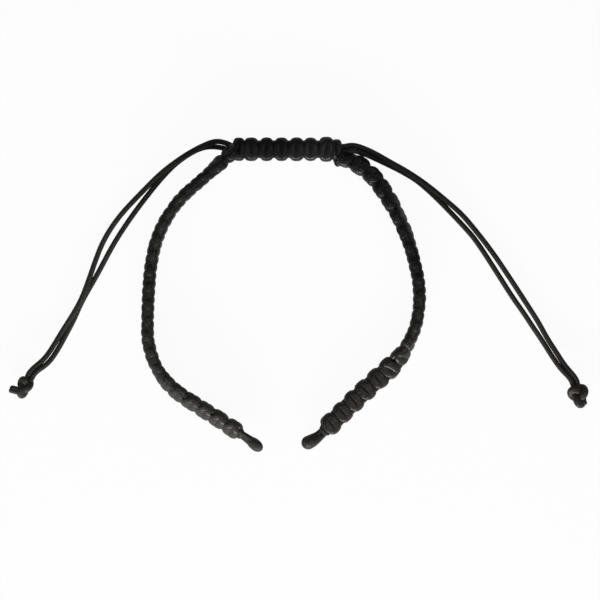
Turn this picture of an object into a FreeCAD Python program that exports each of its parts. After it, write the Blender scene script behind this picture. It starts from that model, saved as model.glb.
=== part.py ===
import FreeCAD, Part
import Sketcher
import math
import os

from FreeCAD import Vector

# Adjustable knotted cord bracelet, lying flat on a table.
#
# Two arms of square knots, tied over a folded core cord, leave a sliding closure of square knots.
# Each arm's core cord runs through the closure and comes out at the far end as that side's pair
# of tails, which end in a stopper knot. Pulling an arm out of the closure draws its tails in.
#
# Frame: millimetres, +Z up from the table, +X along the closure, the origin under the middle of
# the whole object's box. A place u runs along a band, v across it and n through its thickness.

doc = FreeCAD.newDocument("cord_bracelet")

SIZES = {
    # The cords
    "core_diameter": 0.95,
    "tail_diameter": 0.95,
    "knot_cord_width": 2.15,
    "knot_cord_thickness": 0.75,
    "seat_clearance": 0.03,
    # From a band's end to the middle of its first knot
    "end_margin": 1.0,
    # The closure
    "closure_x": -2.3,
    "closure_y": 28.7,
    "closure_pitch": 3.0,
    "closure_knots": 7,
    "closure_ear_gap": 0.14,
    "closure_ear_width": 1.3,
    "closure_ear_height": 2.0,
    # The knots of the arms
    "arm_ear_gap": 0.12,
    "arm_ear_width": 1.0,
    "arm_ear_height": 1.7,
    "joint_gap": 0.3,
    "left_pitch": 3.257,
    "right_pitch": 3.24,
    # The left arm's centre line, a chain of arcs that starts this far from the closure's left end
    "left_start_dx": -2.11,
    "left_start_dy": -1.38,
    "left_heading": 223.3,
    "left_length_1": 9.7,
    "left_turn_1": -2.9,
    "left_length_2": 17.1,
    "left_turn_2": 42.0,
    "left_length_3": 14.3,
    "left_turn_3": 9.2,
    "left_length_4": 15.5,
    "left_turn_4": 56.9,
    "left_length_5": 14.0,
    "left_turn_5": -2.9,
    "left_length_6": 4.6,
    "left_turn_6": -8.0,
    # The right arm's centre line, from the closure's right end
    "right_start_dx": 1.97,
    "right_start_dy": -2.05,
    "right_heading": -22.8,
    "right_length_1": 8.0,
    "right_turn_1": -31.9,
    "right_length_2": 21.5,
    "right_turn_2": -27.4,
    "right_length_3": 13.4,
    "right_turn_3": -38.0,
    "right_length_4": 5.2,
    "right_turn_4": -18.2,
    "right_length_5": 18.4,
    "right_turn_5": 4.4,
    "right_length_6": 4.6,
    "right_turn_6": -27.0,
    # The end loops
    "loop_length": 4.6,
    "left_loop_half_gap": 0.52,
    "right_loop_half_gap": 0.66,
    # The stopper knots, which start this far from the closure's end on their side
    "stopper_cord": 0.9,
    "stopper_core": 0.7,
    "stopper_pitch": 2.0,
    "stopper_turns": 1.5,
    "left_stopper_dx": -41.55,
    "left_stopper_dy": -45.3,
    "left_stopper_heading": 250.0,
    "left_stopper_end": 2.5,
    "right_stopper_dx": 47.2,
    "right_stopper_dy": -46.7,
    "right_stopper_heading": 284.0,
    "right_stopper_end": 1.3,
}

sheet = doc.addObject("Spreadsheet::Sheet", "Sizes")
for row, (alias, value) in enumerate(SIZES.items(), start=1):
    sheet.set(f"A{row}", alias)
    sheet.set(f"B{row}", str(value))
    sheet.setAlias(f"B{row}", alias)
doc.recompute()


def size(alias):
    return float(sheet.get(alias))


core_diameter = size("core_diameter")
tail_diameter = size("tail_diameter")
clearance = size("seat_clearance")
band_thickness = size("knot_cord_thickness")
# Two strands side by side, or two layers of them, stand this far from their common middle
strand_offset = (core_diameter + clearance) / 2
core_half = strand_offset + core_diameter / 2


class Knot:
    """The cross sections of one square knot cord, measured from the middle of its band."""

    def __init__(self, core_height, ear_gap, ear_width, ear_height, pitch):
        self.pitch = pitch
        self.bar_n = core_height + clearance + band_thickness / 2
        self.bar_half = size("knot_cord_width") / 2
        self.ear_v = core_half + ear_gap + ear_width / 2
        self.ear_half = ear_height / 2
        self.ear_low = 0.7 * self.ear_half
        self.ear_thin = ear_width / 2
        self.edge_v = self.ear_v + self.ear_thin
        self.face_n = self.bar_n + band_thickness / 2
        self.ear_n = 0.28 * self.bar_n
        self.foot_v = 0.8 * core_half

    def support(self, twist):
        """The height of the band's middle above the table when it is turned by a twist."""
        corners = (
            (self.edge_v, self.ear_n + 0.55 * self.ear_half),
            (self.ear_v, self.ear_n + self.ear_half),
            (self.foot_v, self.face_n),
        )
        turn = math.radians(twist)
        return max(v * abs(math.sin(turn)) + n * abs(math.cos(turn)) for v, n in corners)

    def ear(self, side, face):
        """The half ear from a bar's middle to the ear's top, as (u, v, n, half width, half
        thickness, outward normal), with u measured from the bar."""
        thin = band_thickness / 2
        wide = self.bar_half
        return [
            (0.0, 0.0, face * self.bar_n, wide, thin, (0, face)),
            (0.0, side * self.foot_v, face * self.bar_n, wide, thin, (0, face)),
            (0.11 * self.pitch, side * (core_half + self.ear_v) / 2, face * 0.7 * self.bar_n,
             (wide + self.ear_low) / 2, thin, (side, face)),
            (0.28 * self.pitch, side * (self.ear_v - 0.12), face * 0.35 * self.bar_n,
             self.ear_low, 0.92 * self.ear_thin, (side, 0)),
            (0.5 * self.pitch, side * self.ear_v, face * self.ear_n,
             self.ear_half, self.ear_thin, (side, 0)),
        ]


closure_knot = Knot(core_half, size("closure_ear_gap"), size("closure_ear_width"),
                    size("closure_ear_height"), size("closure_pitch"))
left_knot = Knot(core_diameter / 2, size("arm_ear_gap"), size("arm_ear_width"),
                 size("arm_ear_height"), size("left_pitch"))
right_knot = Knot(core_diameter / 2, size("arm_ear_gap"), size("arm_ear_width"),
                  size("arm_ear_height"), size("right_pitch"))


# A band whose start is held up comes down to the table over this length
LIFT_LENGTH = 9.0


class Band:
    """A band's centre line in the table's plane, with the twist that it has along its length."""

    def __init__(self, start, heading, arcs, twists, knot, lift=0.0):
        self.lift = lift
        self.start = start
        self.heading = heading
        self.arcs = arcs
        self.twists = twists
        self.knot = knot

    def twist(self, u):
        """The twist at a place, eased between the places where it is given."""
        before = self.twists[0]
        for after in self.twists[1:]:
            if u <= after[0]:
                share = max(0.0, (u - before[0]) / (after[0] - before[0]))
                return before[1] + (after[1] - before[1]) * share * share * (3 - 2 * share)
            before = after
        return before[1]

    def middle(self, u):
        """The centre point and the heading in degrees at a place."""
        x, y = self.start
        heading = self.heading
        left = u
        for number, (length, turn) in enumerate(self.arcs):
            last = number == len(self.arcs) - 1
            step = left if last or left < length else length
            bend = math.radians(turn * step / length)
            angle = math.radians(heading)
            chord = step
            if abs(bend) > 1e-9:
                chord = 2 * step / bend * math.sin(bend / 2)
            x += chord * math.cos(angle + bend / 2)
            y += chord * math.sin(angle + bend / 2)
            heading += math.degrees(bend)
            left -= step
            if left <= 0:
                break
        return x, y, heading

    def frame(self, u):
        """The centre point and the unit vectors along, across and through the band."""
        x, y, heading = self.middle(u)
        angle = math.radians(heading)
        twist = self.twist(u)
        turn = math.radians(twist)
        along = Vector(math.cos(angle), math.sin(angle), 0)
        beside = Vector(-math.sin(angle), math.cos(angle), 0)
        up = Vector(0, 0, 1)
        across = beside * math.cos(turn) + up * math.sin(turn)
        through = up * math.cos(turn) - beside * math.sin(turn)
        share = min(1.0, u / LIFT_LENGTH)
        lifted = self.lift * (1 - share * share * (3 - 2 * share))
        return Vector(x, y, self.knot.support(twist) + lifted), along, across, through

    def place(self, u, v, n):
        point, _, across, through = self.frame(u)
        return point + across * v + through * n

    def turned(self, u, direction):
        """A direction in the band's own places, turned to lie along the band at u."""
        _, along, across, through = self.frame(u)
        return along * direction.x + across * direction.y + through * direction.z


def flat_hexagon(middle, wide, thick, half_width, half_thickness):
    """Six corners round a point, with flat faces towards the thick axis."""
    shares = ((0.55, 1), (1, 0), (0.55, -1), (-0.55, -1), (-1, 0), (-0.55, 1))
    return [middle + wide * (half_width * a) + thick * (half_thickness * b) for a, b in shares]


def ring_corners(middle, first, second, radius, sides=8):
    """The corners of a regular polygon round a point, with a flat face to each axis."""
    corners = []
    for number in range(sides):
        angle = math.pi * (2 * number + 1) / sides
        corners.append(middle + first * (radius * math.cos(angle))
                       + second * (radius * math.sin(angle)))
    return corners


def strand(rings):
    """A solid cord through rings of corners, with two flat triangles for each side of a step."""
    faces = [Part.Face(Part.makePolygon(ring + [ring[0]])) for ring in (rings[0], rings[-1])]
    for near, far in zip(rings, rings[1:]):
        for number in range(len(near)):
            following = (number + 1) % len(near)
            a, b, c, d = near[number], near[following], far[following], far[number]
            faces.append(Part.Face(Part.makePolygon([a, b, c, a])))
            faces.append(Part.Face(Part.makePolygon([a, c, d, a])))
    shell = Part.makeShell(faces)
    shell.sewShape()
    solid = Part.makeSolid(shell.Shells[0] if shell.ShapeType != "Shell" else shell)
    if solid.Volume < 0:
        solid.reverse()
    return solid


def knotting_path(knot, bars, first_side, face, open_start, open_end):
    """One cord's route over a run of bars: a list of ear points, in the band's own places.

    The cord crosses the band at each bar and goes round an ear on alternate sides between them.
    An open end stops at the top of an ear, half a joint gap short, and a closed one at its bar.
    """
    half_gap = size("joint_gap") / 2
    points = []
    side = first_side
    first = bars[0]
    if open_start:
        for step, (u, v, n, a, b, out) in enumerate(reversed(knot.ear(-side, face))):
            place = first - u + (half_gap if step == 0 else 0)
            points.append((place, v, n, a, b, out))
    else:
        points.append((first, -side * (knot.foot_v + knot.bar_half / 2), face * knot.bar_n,
                       knot.bar_half * 0.8, band_thickness / 2, (0, face)))
        points.append((first,) + knot.ear(side, face)[0][1:])
    for number, bar in enumerate(bars):
        last = number == len(bars) - 1
        if last and not open_end:
            points.append((bar, side * (knot.foot_v + knot.bar_half / 2), face * knot.bar_n,
                           knot.bar_half * 0.8, band_thickness / 2, (0, face)))
            break
        rising = knot.ear(side, face)[1:]
        for step, (u, v, n, a, b, out) in enumerate(rising):
            top = step == len(rising) - 1
            points.append((bar + u - (half_gap if last and top else 0), v, n, a, b, out))
        if not last:
            following = bars[number + 1]
            for u, v, n, a, b, out in reversed(knot.ear(side, face)[:-1]):
                points.append((following - u, v, n, a, b, out))
        side = -side
    return points


def knotting_cord(band, points):
    """The solid of a knotting cord whose sections stand square to its own route.

    The section at a cut ear stands square to the band instead.
    """
    places = [Vector(u, v, n) for u, v, n, _, _, _ in points]
    rings = []
    for number, (u, v, n, half_width, half_thickness, out) in enumerate(points):
        before = places[max(number - 1, 0)]
        after = places[min(number + 1, len(places) - 1)]
        along = (after - before).normalize()
        if out[1] == 0 and number in (0, len(points) - 1):
            along = Vector(1, 0, 0)
        outward = Vector(0, out[0], out[1])
        outward = (outward - along * outward.dot(along)).normalize()
        wide = along.cross(outward)
        rings.append(flat_hexagon(band.place(u, v, n), band.turned(u, wide),
                                  band.turned(u, outward), half_width, half_thickness))
    return strand(rings)


def core_strand(band, start, end, v, step):
    """A core strand that follows the band from one place to another."""
    count = max(1, round((end - start) / step))
    rings = []
    for number in range(count + 1):
        u = start + (end - start) * number / count
        point, _, across, through = band.frame(u)
        rings.append(ring_corners(point + across * v, across, through, core_diameter / 2))
    return strand(rings)


def add_piece(name, shape):
    """Puts a finished shape into the document as a sub-part with its own name."""
    piece = doc.addObject("Part::Feature", name)
    piece.Shape = shape
    piece.Placement = FreeCAD.Placement()
    piece.Label = name
    pieces.append(piece)
    return piece


pieces = []

# The closure: a straight band of square knots over four strands, two from each arm

closure_knots = round(size("closure_knots"))
end_margin = size("end_margin")
closure_half = (closure_knots - 1) / 2 * size("closure_pitch") + end_margin
closure_left = size("closure_x") - closure_half
closure_right = size("closure_x") + closure_half
closure_y = size("closure_y")
closure_band = Band((closure_left, closure_y), 0.0, [(2 * closure_half, 0.0)],
                    [(0.0, 0.0), (1.0, 0.0)], closure_knot)
closure_z = closure_knot.support(0.0)
closure_bars = [end_margin + number * size("closure_pitch")
                for number in range(closure_knots)]
front_path = knotting_path(closure_knot, closure_bars, 1, 1, False, False)
add_piece("closure_front_cord", knotting_cord(closure_band, front_path))

# The back cord's trimmed end stands out past the last knot: distances from its bar and from the
# band's middle, then the half width and the half thickness
TRIMMED_END = ((0.45, -1.75, -1.15, 0.62, 0.42), (0.85, -2.5, -1.1, 0.5, 0.45),
               (1.1, -3.2, -1.1, 0.47, 0.45), (1.2, -3.5, -1.1, 0.25, 0.25))
back_path = knotting_path(closure_knot, closure_bars, -1, -1, False, False)
end_side = 1 if closure_knots % 2 == 0 else -1
for along, across, through, half_width, half_thickness in TRIMMED_END:
    back_path.append((closure_bars[-1] + along, -end_side * across, through, half_width,
                      half_thickness, (0, -1)))
add_piece("closure_back_cord", knotting_cord(closure_band, back_path))


def closure_strands(name, layer):
    """A pair of straight strands through the closure, drawn as a sketch and padded."""
    body = doc.addObject("PartDesign::Body", name)
    body.Label = name
    plane = next(p for p in body.Origin.OriginFeatures if p.Role == "YZ_Plane")
    sketch = body.newObject("Sketcher::SketchObject", name + "_sketch")
    sketch.AttachmentSupport = (plane, "")
    sketch.MapMode = "FlatFace"
    for number, side in enumerate((-1, 1)):
        sketch.addGeometry(Part.Circle(Vector(side * strand_offset, 0, 0), Vector(0, 0, 1),
                                       core_diameter / 2))
        radius = sketch.addConstraint(Sketcher.Constraint("Radius", number, core_diameter / 2))
        sketch.setExpression(f"Constraints[{radius}]", "Sizes.core_diameter / 2")
        across = sketch.addConstraint(Sketcher.Constraint(
            "DistanceX", -1, 1, number, 3, side * strand_offset))
        sketch.setExpression(f"Constraints[{across}]",
                             f"{side} * (Sizes.core_diameter + Sizes.seat_clearance) / 2")
        sketch.addConstraint(Sketcher.Constraint("DistanceY", -1, 1, number, 3, 0.0))
    pad = body.newObject("PartDesign::Pad", name + "_pad")
    pad.Profile = sketch
    pad.setExpression("Length", "(round(Sizes.closure_knots) - 1) * Sizes.closure_pitch"
                                " + 2 * Sizes.end_margin")
    body.Placement = FreeCAD.Placement(
        Vector(closure_left, closure_y, closure_z + layer * strand_offset),
        FreeCAD.Rotation())
    pieces.append(body)


closure_strands("closure_strands_of_left_arm", 1)
closure_strands("closure_strands_of_right_arm", -1)


# The arms: each is cut at the tops of its ears into four lengths that bend at the joints

def arcs_of(side):
    return [(size(f"{side}_length_{number}"), size(f"{side}_turn_{number}"))
            for number in range(1, 7)]


left_band = Band((closure_left + size("left_start_dx"), closure_y + size("left_start_dy")),
                 size("left_heading"), arcs_of("left"),
                 [(0.0, 60.0), (7.0, 90.0), (64.0, 90.0), (76.0, 62.0)], left_knot, lift=0.45)
right_band = Band((closure_right + size("right_start_dx"), closure_y + size("right_start_dy")),
                  size("right_heading"), arcs_of("right"),
                  [(0.0, -38.0), (8.0, -50.0), (16.0, -68.0), (25.0, -90.0), (39.5, -90.0),
                   (51.0, 0.0), (76.0, 0.0)], right_knot)

LEFT_KNOTS = (5, 6, 5, 6)
RIGHT_KNOTS = (5, 5, 5, 6)
joints = {}
arm_ends = {}


def build_arm(side, band, knots):
    knot = band.knot
    counts = [round(count) for count in knots]
    total = sum(counts)
    bars = [end_margin + number * knot.pitch for number in range(total)]
    end = bars[-1] + end_margin
    first = 0
    for number, count in enumerate(counts, start=1):
        own = bars[first:first + count]
        opens = first > 0
        closes = first + count < total
        # The ears swap sides from bar to bar, so the first side follows from the bar's number
        turn = 1 if first % 2 == 0 else -1
        for word, way, face in (("front", 1, 1), ("back", -1, -1)):
            path = knotting_path(knot, own, way * turn, face, opens, closes)
            add_piece(f"{side}_arm_{number}_{word}_cord", knotting_cord(band, path))
        low = own[0] - knot.pitch / 2 + size("joint_gap") / 2 if opens else 0.0
        high = own[-1] + knot.pitch / 2 - size("joint_gap") / 2 if closes else end
        strands = [core_strand(band, low, high, way * strand_offset, knot.pitch / 2)
                   for way in (-1, 1)]
        add_piece(f"{side}_arm_{number}_core", Part.makeCompound(strands))
        if closes:
            place = own[-1] + knot.pitch / 2
            joints[f"{side}_{number}_{number + 1}"] = band.middle(place)
        first += count
    arm_ends[side] = end


build_arm("left", left_band, LEFT_KNOTS)
build_arm("right", right_band, RIGHT_KNOTS)


# The end loops: the core cord's fold, a narrow eye past the last knot

def end_loop(side, band, half_gap):
    start = arm_ends[side]
    radius = half_gap
    length = size("loop_length")
    straight = length - radius - core_diameter / 2
    rings = []
    spread = ((0.0, strand_offset), (0.35, (strand_offset + half_gap) / 2), (0.7, half_gap))
    route = [(straight * share, v) for share, v in spread]
    for number in range(7):
        angle = math.pi * number / 6
        route.append((straight + radius * math.sin(angle), radius * math.cos(angle)))
    route += [(u, -v) for u, v in reversed(route[:3])]
    for number, (u, v) in enumerate(route):
        before = route[max(number - 1, 0)]
        after = route[min(number + 1, len(route) - 1)]
        if number == 0 or number == len(route) - 1:
            direction = 0.0 if number == 0 else math.pi
        else:
            direction = math.atan2(after[1] - before[1], after[0] - before[0])
        beside = Vector(-math.sin(direction), math.cos(direction), 0)
        rings.append(ring_corners(band.place(start + u, v, 0), band.turned(start + u, beside),
                                  band.turned(start + u, Vector(0, 0, 1)), core_diameter / 2))
    add_piece(f"{side}_end_loop", strand(rings))


end_loop("left", left_band, size("left_loop_half_gap"))
end_loop("right", right_band, size("right_loop_half_gap"))


# The bare strands between the closure and each arm, which lengthen as the arm slides out

def core_run(name, exit_x, way, layer, band):
    strands = []
    point, _, across, through = band.frame(0.0)
    for side in (-1, 1):
        start = Vector(exit_x, closure_y + side * strand_offset,
                       closure_z + layer * strand_offset)
        end = point + across * (way * side * strand_offset)
        first = ring_corners(start, Vector(0, 1, 0), Vector(0, 0, 1), core_diameter / 2)
        last = ring_corners(end, across * way, through, core_diameter / 2)
        strands.append(strand([first, last]))
    add_piece(name, Part.makeCompound(strands))


core_run("left_core_run", closure_left, -1, 1, left_band)
core_run("right_core_run", closure_right, 1, -1, right_band)


# The stopper knots: each pair of tails turns round itself side by side, and its cut ends stand out

STOPPER_STEPS = 12
stopper_cord_size = size("stopper_cord")
stopper_core = size("stopper_core")
stopper_core_offset = (stopper_core + clearance) / 2
stopper_radius = stopper_core_offset + stopper_core / 2 + clearance + stopper_cord_size / 2
stopper_z = stopper_radius + stopper_cord_size / 2
stopper_starts = {}


def stopper_knot(side):
    heading = math.radians(size(f"{side}_stopper_heading"))
    axis = Vector(math.cos(heading), math.sin(heading), 0)
    beside = Vector(-math.sin(heading), math.cos(heading), 0)
    up = Vector(0, 0, 1)
    end_x = closure_left if side == "left" else closure_right
    start = Vector(end_x + size(f"{side}_stopper_dx"), closure_y + size(f"{side}_stopper_dy"),
                   stopper_z)
    # The left knot's ends leave towards -X and the right knot's ends towards +X
    hand = 1 if side == "left" else -1
    half_cord = stopper_cord_size / 2
    turns = size("stopper_turns")
    steps = round(turns * STOPPER_STEPS)
    beside_gap = stopper_cord_size + clearance
    wraps = []
    for strand_number in (0, 1):
        rings = []
        for number in range(steps + 1):
            angle = 2 * math.pi * turns * number / steps - math.pi / 2
            outward = beside * (hand * math.cos(angle)) + up * math.sin(angle)
            place = half_cord + clearance + beside_gap * strand_number
            place += size("stopper_pitch") * turns * number / steps
            rings.append(flat_hexagon(start + axis * place + outward * stopper_radius, axis,
                                      outward, half_cord, half_cord))
        leaving = beside * (-hand * size(f"{side}_stopper_end")) - up * half_cord
        rings.append([corner + leaving for corner in rings[-1]])
        wraps.append(strand(rings))
    add_piece(f"{side}_stopper_wrap", Part.makeCompound(wraps))
    length = stopper_cord_size + beside_gap + size("stopper_pitch") * turns
    strands = []
    for way in (-1, 1):
        first = start + beside * (way * stopper_core_offset)
        strands.append(strand([ring_corners(place, beside, up, stopper_core / 2)
                               for place in (first, first + axis * length)]))
        stopper_starts[side, way] = (start + beside * (way * strand_offset), axis)
    add_piece(f"{side}_stopper_strands", Part.makeCompound(strands))


stopper_knot("left")
stopper_knot("right")


# The tails: limp strands that lie on the table between the closure and the stopper knots

exit_run = 0.9
floor_z = tail_diameter / 2 + clearance
lower_z = closure_z - strand_offset
upper_z = closure_z + strand_offset
crossing_z = floor_z + core_diameter + clearance

# Each tail's points between its straight exit and its stopper knot, measured from the middle of
# the closure's end on its side, and the height above the table
LEFT_OUTER = (
    (-2.6, 1.35, 1.4), (-4.7, 1.7, crossing_z), (-7.3, 0.65, crossing_z),
    (-9.9, -0.75, crossing_z), (-12.75, -2.65, crossing_z), (-15.4, -4.7, 1.25),
    (-17.9, -7.1, 0.62), (-22.65, -12, floor_z), (-24.8, -14.7, floor_z), (-26.7, -17.7, floor_z),
    (-28.1, -20.8, 0.6), (-30.3, -27.3, 1.4), (-31.55, -30.4, crossing_z), (-33.3, -33.4, 1.28),
    (-35.2, -36.3, 0.7), (-36.8, -39, 0.75), (-38.7, -41.9, 1.2),
)
LEFT_INNER = (
    (-2.6, 0.2, 0.65), (-4.9, 0.6, floor_z), (-7.2, 0.4, floor_z), (-9.8, -0.85, floor_z),
    (-12.6, -2.85, floor_z), (-14.9, -5.2, floor_z), (-17.15, -7.85, floor_z),
    (-21.15, -13.05, floor_z), (-24.9, -18.7, floor_z), (-28, -24.65, floor_z),
    (-31.4, -30.5, floor_z), (-32.7, -33.65, floor_z), (-34.3, -36.7, floor_z),
    (-35.9, -39.7, 0.65), (-37.9, -42.75, 1.1),
)
RIGHT_OUTER = (
    (2.9, 0.9, 2.2), (5.5, 0.05, 1.75), (7.9, -1.15, 1.6), (10.3, -2.55, 1.3), (13.15, -4.1, 1.4),
    (16.05, -5.95, 1.45), (18.75, -7.95, 1.3), (21.4, -10.15, 0.8), (24.1, -12.4, floor_z),
    (26.45, -15, floor_z), (30.65, -20.33, floor_z), (34.45, -26, floor_z),
    (38.15, -31.7, floor_z), (40, -34.6, floor_z), (41.6, -37.6, 0.6), (43.45, -40.45, 0.85),
    (45.25, -43.3, 1.25),
)
RIGHT_INNER = (
    (2.7, -0.2, 2.55), (4.9, -0.8, 1.9), (7.1, -1.75, 1.0), (9.8, -3, floor_z),
    (12.9, -4.55, floor_z), (15.8, -6.3, floor_z), (18.3, -8.5, floor_z), (20.8, -10.9, floor_z),
    (25.5, -15.85, floor_z), (27.65, -18.4, floor_z), (31.3, -24.05, floor_z),
    (34.9, -29.75, floor_z), (36.9, -32.5, floor_z), (38.75, -35.35, floor_z), (40.7, -38.2, 0.6),
    (42.5, -41.1, 0.85), (44.35, -43.85, 1.25),
)


def rounded_route(points):
    """Straight runs joined by the largest tangent arcs that the runs allow, and their radii."""
    edges = []
    radii = []
    last = points[0]
    for before, corner, after in zip(points, points[1:], points[2:]):
        arriving = (corner - before).normalize()
        leaving = (after - corner).normalize()
        turn = arriving.getAngle(leaving)
        cut = 0.45 * min((corner - before).Length, (after - corner).Length)
        radius = cut / math.tan(turn / 2)
        start = corner - arriving * cut
        end = corner + leaving * cut
        crown = corner + (leaving - arriving).normalize() * (radius / math.cos(turn / 2) - radius)
        edges.append(Part.LineSegment(last, start).toShape())
        edges.append(Part.Arc(start, crown, end).toShape())
        radii.append(radius)
        last = end
    edges.append(Part.LineSegment(last, points[-1]).toShape())
    return Part.Wire(edges), radii


def tail(name, route, side, stopper_way, closure_way, height):
    """A tail that leaves the closure's end straight and runs into its side's stopper knot."""
    last, axis = stopper_starts[side, stopper_way]
    end_x, outward = (closure_left, -1) if side == "left" else (closure_right, 1)
    start = Vector(end_x, closure_y + closure_way * strand_offset, height)
    points = [start, start + Vector(outward * exit_run, 0, 0)]
    points += [Vector(end_x + dx, closure_y + dy, z) for dx, dy, z in route]
    points += [last - axis * exit_run, last]
    wire, radii = rounded_route(points)
    away = (points[1] - points[0]).normalize()
    beside = away.cross(Vector(0, 0, 1)).normalize()
    profile = ring_corners(points[0], beside, beside.cross(away), tail_diameter / 2)
    section = Part.Face(Part.makePolygon(profile + [profile[0]]))
    solid = wire.makePipeShell([section.OuterWire], True, False)
    add_piece(name, solid)
    print(name, " ".join(f"{r:.1f}" for r in radii))
    print(f"{name}: length {wire.Length:.1f}, least radius {min(radii):.1f}, "
          f"volume over section times length {solid.Volume / (section.Area * wire.Length):.4f}")


tail("left_tail_outer", LEFT_OUTER, "left", -1, 1, lower_z)
tail("left_tail_inner", LEFT_INNER, "left", 1, -1, lower_z)
tail("right_tail_outer", RIGHT_OUTER, "right", 1, 1, upper_z)
tail("right_tail_inner", RIGHT_INNER, "right", -1, -1, upper_z)


doc.recompute()
os.makedirs("parts", exist_ok=True)
for thing in doc.Objects:
    if "Invalid" in thing.State or "Error" in thing.State:
        raise RuntimeError(f"{thing.Label} did not build: {thing.State}")
for piece in pieces:
    if piece.Shape.isNull() or not piece.Shape.isValid():
        raise RuntimeError(f"{piece.Label} has no sound shape")
    piece.Shape.exportStep(f"parts/{piece.Label}.step")
for name, (x, y, heading) in joints.items():
    print(f"joint {name} at x {x:.2f} y {y:.2f}, heading {heading % 360:.1f}")
for side, band in (("left", left_band), ("right", right_band)):
    x, y, heading = band.middle(arm_ends[side])
    print(f"{side} arm ends at {arm_ends[side]:.2f}: x {x:.2f} y {y:.2f}, heading {heading % 360:.1f}")
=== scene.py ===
import logging
import math
import random
from dataclasses import dataclass
from enum import Enum
from typing import Iterable, Optional, Sequence, Union

import bpy
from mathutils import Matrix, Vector


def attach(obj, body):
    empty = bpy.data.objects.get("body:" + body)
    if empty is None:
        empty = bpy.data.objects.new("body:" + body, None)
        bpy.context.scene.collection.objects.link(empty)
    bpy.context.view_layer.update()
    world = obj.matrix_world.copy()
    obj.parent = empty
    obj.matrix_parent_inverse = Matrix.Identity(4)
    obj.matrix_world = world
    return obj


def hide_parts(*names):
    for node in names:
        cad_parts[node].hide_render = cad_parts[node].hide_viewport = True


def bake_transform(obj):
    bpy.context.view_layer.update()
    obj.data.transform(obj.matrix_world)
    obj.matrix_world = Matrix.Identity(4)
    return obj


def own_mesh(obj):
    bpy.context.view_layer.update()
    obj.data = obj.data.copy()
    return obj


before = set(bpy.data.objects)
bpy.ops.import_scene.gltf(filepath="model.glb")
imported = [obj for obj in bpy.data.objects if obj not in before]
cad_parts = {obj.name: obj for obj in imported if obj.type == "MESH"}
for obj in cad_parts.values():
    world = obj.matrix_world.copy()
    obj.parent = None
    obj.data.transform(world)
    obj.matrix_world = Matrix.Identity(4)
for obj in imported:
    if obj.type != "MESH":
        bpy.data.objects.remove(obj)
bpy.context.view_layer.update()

LOG = logging.getLogger("cord_bracelet")
MM = 0.001
WAYS = {"left": -1, "right": 1}
Place = tuple[float, float, float]
Colour = tuple[float, float, float]
Value = Union["Socket", float]
ONWARD = Vector((1.0, 0.0, 0.0))
BESIDE = Vector((0.0, 1.0, 0.0))
UP = Vector((0.0, 0.0, 1.0))
WHITE = (1.0, 1.0, 1.0, 1.0)


# Shader maths


class Socket:
    """An output of a node, on which ordinary arithmetic adds Math nodes."""

    def __init__(self, shader: "Shader", link: bpy.types.NodeSocket) -> None:
        """Wraps an output socket of a shader's tree."""
        self.shader = shader
        self.link = link

    def math(self, operation: str, *others: Value) -> "Socket":
        """The result of a Math node whose first value is this one."""
        return self.shader.node("ShaderNodeMath", {"operation": operation}, (self, *others))

    def __add__(self, other: Value) -> "Socket":
        """This value plus another."""
        return self.math("ADD", other)

    __radd__ = __add__

    def __mul__(self, other: Value) -> "Socket":
        """This value times another."""
        return self.math("MULTIPLY", other)

    __rmul__ = __mul__

    def __sub__(self, other: Value) -> "Socket":
        """This value less another."""
        return self.math("SUBTRACT", other)

    def __rsub__(self, other: float) -> "Socket":
        """A number less this value."""
        return self.shader.node("ShaderNodeMath", {"operation": "SUBTRACT"}, (other, self))

    def sine(self) -> "Socket":
        """The sine of this value, in radians."""
        return self.math("SINE")

    def size(self) -> "Socket":
        """This value without its sign."""
        return self.math("ABSOLUTE")

    def eased(self, low: float, high: float) -> "Socket":
        """A smooth step from 0 at low to 1 at high."""
        inputs = {"Value": self, "From Min": low, "From Max": high, "To Min": 0.0, "To Max": 1.0}
        return self.shader.node("ShaderNodeMapRange", {"interpolation_type": "SMOOTHSTEP"}, inputs)


class Shader:
    """The node tree of a material or a world."""

    def __init__(self, owner: bpy.types.ID) -> None:
        """Clears the tree.

        Args:
            owner: The material or world.
        """
        self.owner = owner
        owner.use_nodes = True
        self.tree = owner.node_tree
        self.tree.nodes.clear()

    def node(self, kind: str, settings: Optional[dict] = None,
             inputs: Union[dict, Sequence, None] = None, output: Union[int, str] = 0) -> Socket:
        """Adds a node.

        Args:
            kind: The node's type.
            settings: Its own settings, which are set first.
            inputs: Values or sockets, by the inputs' names or in their order.
            output: The output that is wanted.

        Returns:
            That output.
        """
        made = self.tree.nodes.new(kind)
        for name, value in (settings or {}).items():
            setattr(made, name, value)
        pairs = inputs.items() if isinstance(inputs, dict) else enumerate(inputs or ())
        for name, value in pairs:
            if isinstance(value, Socket):
                self.tree.links.new(value.link, made.inputs[name])
            else:
                made.inputs[name].default_value = value
        return Socket(self, made.outputs[output]) if len(made.outputs) else None

    def mix(self, share: Value, first: Union[Socket, tuple],
            second: Union[Socket, tuple]) -> Socket:
        """Mixes two colours, of which the second shows by the share."""
        inputs = {0: share, 6: first, 7: second}
        return self.node("ShaderNodeMix", {"data_type": "RGBA"}, inputs, output=2)

    def noise(self, place: Socket, scale: float, detail: float, roughness: float) -> Socket:
        """The value of a noise texture at a place."""
        return self.node("ShaderNodeTexNoise", {"noise_dimensions": "3D"},
                         {"Vector": place, "Scale": scale, "Detail": detail,
                          "Roughness": roughness})

    def parts(self, vector: Socket) -> tuple[Socket, Socket]:
        """The first two parts of a vector."""
        split = self.node("ShaderNodeSeparateXYZ", inputs=(vector,))
        return split, Socket(self, split.link.node.outputs[1])


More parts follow.
